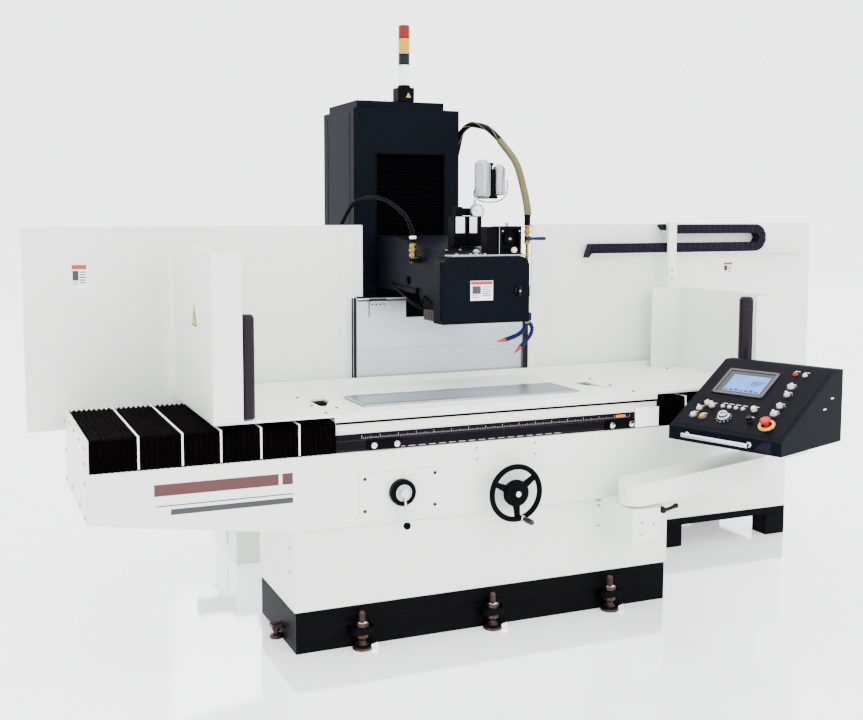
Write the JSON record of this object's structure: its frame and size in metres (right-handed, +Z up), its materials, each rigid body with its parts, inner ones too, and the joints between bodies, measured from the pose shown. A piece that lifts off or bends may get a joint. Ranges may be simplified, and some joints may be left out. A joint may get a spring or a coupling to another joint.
{
  "type": "surface grinder",
  "caption": "Horizontal-spindle surface grinder with a sliding table under splash guards, a cross-feed column with a lifting wheelhead, a swing-arm console and a cabinet.",
  "frame": {"origin": "middle of the underside of the front plinth, on the floor", "axes": "+X along the table's travel towards the operator's right, +Y from the operator towards the back, +Z up"},
  "size_m": [4.248, 2.8879, 2.762],
  "materials": {
    "white_paint": "satin",
    "black_paint": "satin",
    "navy_paint": "satin",
    "bellows_cloth": "matt",
    "ground_steel": "ground",
    "curtain_steel": "cold rolled",
    "black_plastic": "matt",
    "upright_black": "gloss",
    "bright_parts": "polished",
    "brass_parts": "polished",
    "blue_plastic": "matt",
    "red_plastic": "gloss",
    "ivory_plastic": "gloss",
    "yellow_plastic": "gloss",
    "lamp_plastic": "clear gloss",
    "abrasive": "open grain",
    "hose_black": "ribbed",
    "hose_yellow": "ribbed",
    "dresser_black": "satin"
  },
  "bodies": {
    "base": {"plinth": "black_paint", "pedestal_casting": "white_paint", "bed_casting": "white_paint", "column_base": "white_paint", "bellows_left": "bellows_cloth", "bellows_right": "bellows_cloth", "splash_panel_left": "white_paint", "splash_panel_right": "white_paint", "curtain_plate_lower": "curtain_steel", "speed_control_valve": "white_paint", "electrical_cabinet": "white_paint", "hydraulic_unit": "white_paint", "arm_bracket": "white_paint", "chain_run_lower": "black_plastic"},
    "chain_bend_low": {"chain_bend_lower": "black_plastic"},
    "chain_bend_high": {"chain_bend_upper": "black_plastic"},
    "curtain_upper": {"curtain_plate_upper": "curtain_steel"},
    "curtain_middle": {"curtain_plate_middle": "curtain_steel"},
    "table": {"work_table": "white_paint", "magnetic_chuck": "ground_steel", "coolant_tray": "white_paint", "side_guard_left": "white_paint", "side_guard_right": "white_paint", "guard_upright_left": "upright_black", "guard_upright_right": "upright_black", "chain_post": "white_paint", "chain_run_upper": "black_plastic"},
    "dog_left": {"trip_dog_left": "black_paint"},
    "dog_right": {"trip_dog_right": "black_paint"},
    "column": {"column_casting": "navy_paint", "column_bellows": "bellows_cloth", "tower_light": "lamp_plastic", "power_conduit": "hose_black", "coolant_hose": "hose_yellow"},
    "head": {"wheelhead_housing": "navy_paint", "wheel_guard": "navy_paint", "dresser_unit": "dresser_black", "oil_reservoir": "ground_steel", "coolant_valve": "brass_parts", "coolant_nozzles": "blue_plastic"},
    "guard_door": {"guard_door": "navy_paint"},
    "latch": {"door_latch": "black_plastic"},
    "valve_lever": {"valve_lever": "blue_plastic"},
    "spindle": {"spindle_shaft": "ground_steel", "grinding_wheel": "abrasive"},
    "cabinet_door": {"cabinet_door": "white_paint"},
    "handwheel": {"handwheel": "black_plastic"},
    "grip": {"handwheel_grip": "black_plastic"},
    "speed_lever": {"speed_lever": "black_plastic"},
    "arm": {"console_arm": "white_paint"},
    "clamp_lever": {"arm_clamp_lever": "black_plastic"},
    "console": {"console_case": "navy_paint", "grab_bar": "bright_parts"},
    "e_stop": {"e_stop_button": "red_plastic"},
    "feed_start": {"feed_start_button": "ivory_plastic"},
    "feed_stop": {"feed_stop_button": "yellow_plastic"},
    "spindle_selector": {"spindle_selector": "ivory_plastic"},
    "mode_selector": {"mode_selector": "ivory_plastic"},
    "feed_rate": {"feed_rate_knob": "black_plastic"},
    "pulse_dial": {"pulse_dial": "bright_parts"}
  },
  "joints": [
    {"name": "table_slide", "type": "slide", "parent": "base", "child": "table", "axis": [1, 0, 0], "range_m": [-0.42, 0.68], "deforming": ["bellows_left", "bellows_right"]},
    {"name": "chain_low_slide", "type": "slide", "parent": "base", "child": "chain_bend_low", "axis": [1, 0, 0], "range_m": [-0.22, 0.35], "deforming": ["chain_run_lower"]},
    {"name": "chain_high_slide", "type": "slide", "parent": "table", "child": "chain_bend_high", "axis": [1, 0, 0], "range_m": [-0.35, 0.22], "deforming": ["chain_run_upper"]},
    {"name": "dog_left_slide", "type": "slide", "parent": "table", "child": "dog_left", "axis": [1, 0, 0], "range_m": [-0.12, 0.25]},
    {"name": "dog_right_slide", "type": "slide", "parent": "table", "child": "dog_right", "axis": [1, 0, 0], "range_m": [-0.25, 0]},
    {"name": "cross_slide", "type": "slide", "parent": "base", "child": "column", "axis": [0, 1, 0], "range_m": [-0.22, 0.28]},
    {"name": "head_slide", "type": "slide", "parent": "column", "child": "head", "axis": [0, 0, 1], "range_m": [-0.14, 0.25], "deforming": ["column_bellows", "power_conduit", "coolant_hose"]},
    {"name": "curtain_upper_slide", "type": "slide", "parent": "base", "child": "curtain_upper", "axis": [0, 0, 1], "range_m": [-0.14, 0.25]},
    {"name": "curtain_middle_slide", "type": "slide", "parent": "base", "child": "curtain_middle", "axis": [0, 0, 1], "range_m": [-0.08, 0.13]},
    {"name": "guard_door_hinge", "type": "hinge", "parent": "head", "child": "guard_door", "pos_m": [-0.121, 0.021, 1.435], "axis": [0, 0, -1], "range_deg": [0, 110]},
    {"name": "latch_turn", "type": "hinge", "parent": "guard_door", "child": "latch", "pos_m": [0.257, 0.007, 1.43], "axis": [0, 1, 0], "range_deg": [0, 90]},
    {"name": "valve_turn", "type": "hinge", "parent": "head", "child": "valve_lever", "pos_m": [0.341, 0.063, 1.664], "axis": [0, 1, 0], "range_deg": [0, 90]},
    {"name": "spindle_spin", "type": "hinge", "parent": "head", "child": "spindle", "pos_m": [0.101, 0.068, 1.424], "axis": [0, 1, 0], "continuous": true},
    {"name": "cabinet_door_hinge", "type": "hinge", "parent": "base", "child": "cabinet_door", "pos_m": [2.151, 1.047, 0.92], "axis": [0, 0, -1], "range_deg": [0, 110]},
    {"name": "handwheel_turn", "type": "hinge", "parent": "base", "child": "handwheel", "pos_m": [0.058, -0.353, 0.6], "axis": [0, 1, 0], "range_deg": [-1560, 2500]},
    {"name": "grip_spin", "type": "hinge", "parent": "handwheel", "child": "grip", "pos_m": [0.08725, -0.403, 0.49085], "axis": [0, 1, 0], "continuous": true},
    {"name": "speed_lever_swing", "type": "hinge", "parent": "base", "child": "speed_lever", "pos_m": [-0.439, -0.329, 0.638], "axis": [0, 1, 0], "range_deg": [-60, 60]},
    {"name": "arm_swing", "type": "hinge", "parent": "base", "child": "arm", "pos_m": [0.6, -0.448, 0.582], "axis": [0, 0, 1], "range_deg": [-80, 0]},
    {"name": "clamp_turn", "type": "hinge", "parent": "base", "child": "clamp_lever", "pos_m": [0.687, -0.508, 0.503], "axis": [0, 1, 0], "range_deg": [-10, 90]},
    {"name": "console_swivel", "type": "hinge", "parent": "arm", "child": "console", "pos_m": [1.178, -0.463, 0.815], "axis": [0, 0, 1], "range_deg": [-20, 60]},
    {"name": "e_stop_press", "type": "slide", "parent": "console", "child": "e_stop", "axis": [0.471, 0.1677, -0.866], "range_m": [0, 0.006], "stiffness_N_per_m": 600, "springref_m": -0.002},
    {"name": "feed_start_press", "type": "slide", "parent": "console", "child": "feed_start", "axis": [0.471, 0.1677, -0.866], "range_m": [0, 0.004], "stiffness_N_per_m": 400, "springref_m": -0.001},
    {"name": "feed_stop_press", "type": "slide", "parent": "console", "child": "feed_stop", "axis": [0.471, 0.1677, -0.866], "range_m": [0, 0.004], "stiffness_N_per_m": 400, "springref_m": -0.001},
    {"name": "spindle_selector_turn", "type": "hinge", "parent": "console", "child": "spindle_selector", "pos_m": [1.12789, -0.77796, 1.0465], "axis": [-0.471, -0.1677, 0.866], "range_deg": [-45, 45]},
    {"name": "mode_selector_turn", "type": "hinge", "parent": "console", "child": "mode_selector", "pos_m": [0.98199, -0.84583, 0.954], "axis": [-0.471, -0.1677, 0.866], "range_deg": [-45, 45]},
    {"name": "feed_rate_turn", "type": "hinge", "parent": "console", "child": "feed_rate", "pos_m": [0.90702, -0.78761, 0.9245], "axis": [-0.471, -0.1677, 0.866], "range_deg": [-135, 135]},
    {"name": "pulse_dial_turn", "type": "hinge", "parent": "console", "child": "pulse_dial", "pos_m": [0.86403, -0.67978, 0.922], "axis": [-0.471, -0.1677, 0.866], "continuous": true}
  ],
  "couplings": [
    {"joint": "chain_low_slide", "follows": "table_slide", "ratio": 0.5},
    {"joint": "chain_high_slide", "follows": "table_slide", "ratio": -0.5},
    {"joint": "handwheel_turn", "follows": "table_slide", "rad_per_m": 62.832},
    {"joint": "curtain_upper_slide", "follows": "head_slide", "ratio": 1},
    {"joint": "curtain_middle_slide", "follows": "head_slide", "ratio": 0.5}
  ]
}
